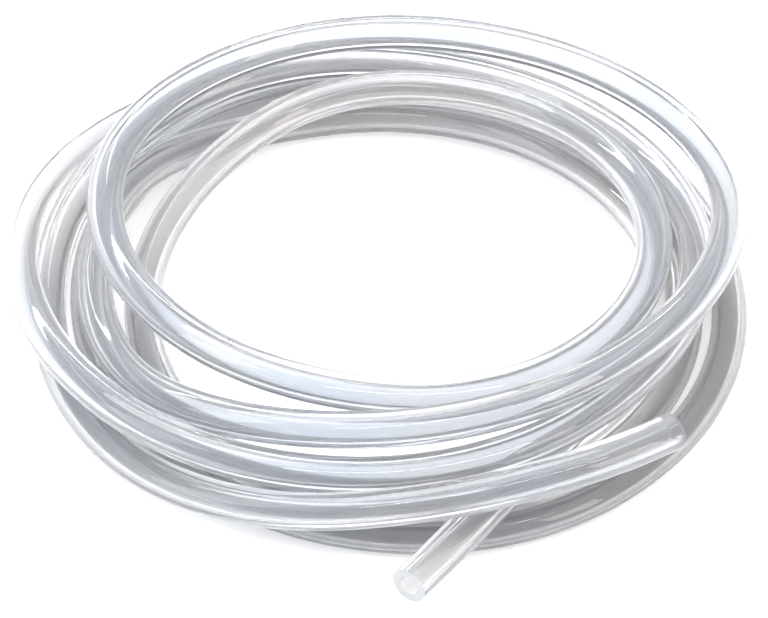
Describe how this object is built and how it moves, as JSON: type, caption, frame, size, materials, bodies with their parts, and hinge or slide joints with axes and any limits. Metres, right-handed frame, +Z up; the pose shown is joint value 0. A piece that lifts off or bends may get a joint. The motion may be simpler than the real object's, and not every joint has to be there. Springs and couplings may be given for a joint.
{
  "type": "silicone tubing coil",
  "caption": "Length of clear round-bore silicone tubing, cut square at both ends and laid up in an uneven hand-wound coil with one end sticking out.",
  "frame": {"origin": "on the floor under the middle of the bounding box", "axes": "+Z up, coil lying flat; front of the coil, where the free end sticks out, towards -Y; +X to the right seen from the front"},
  "size_m": [0.1646, 0.1902, 0.0345],
  "materials": {
    "silicone": "smooth clear silicone rubber with a slight milky, blue-grey cast"
  },
  "bodies": {
    "root": {"tubing": "silicone"}
  },
  "joints": []
}
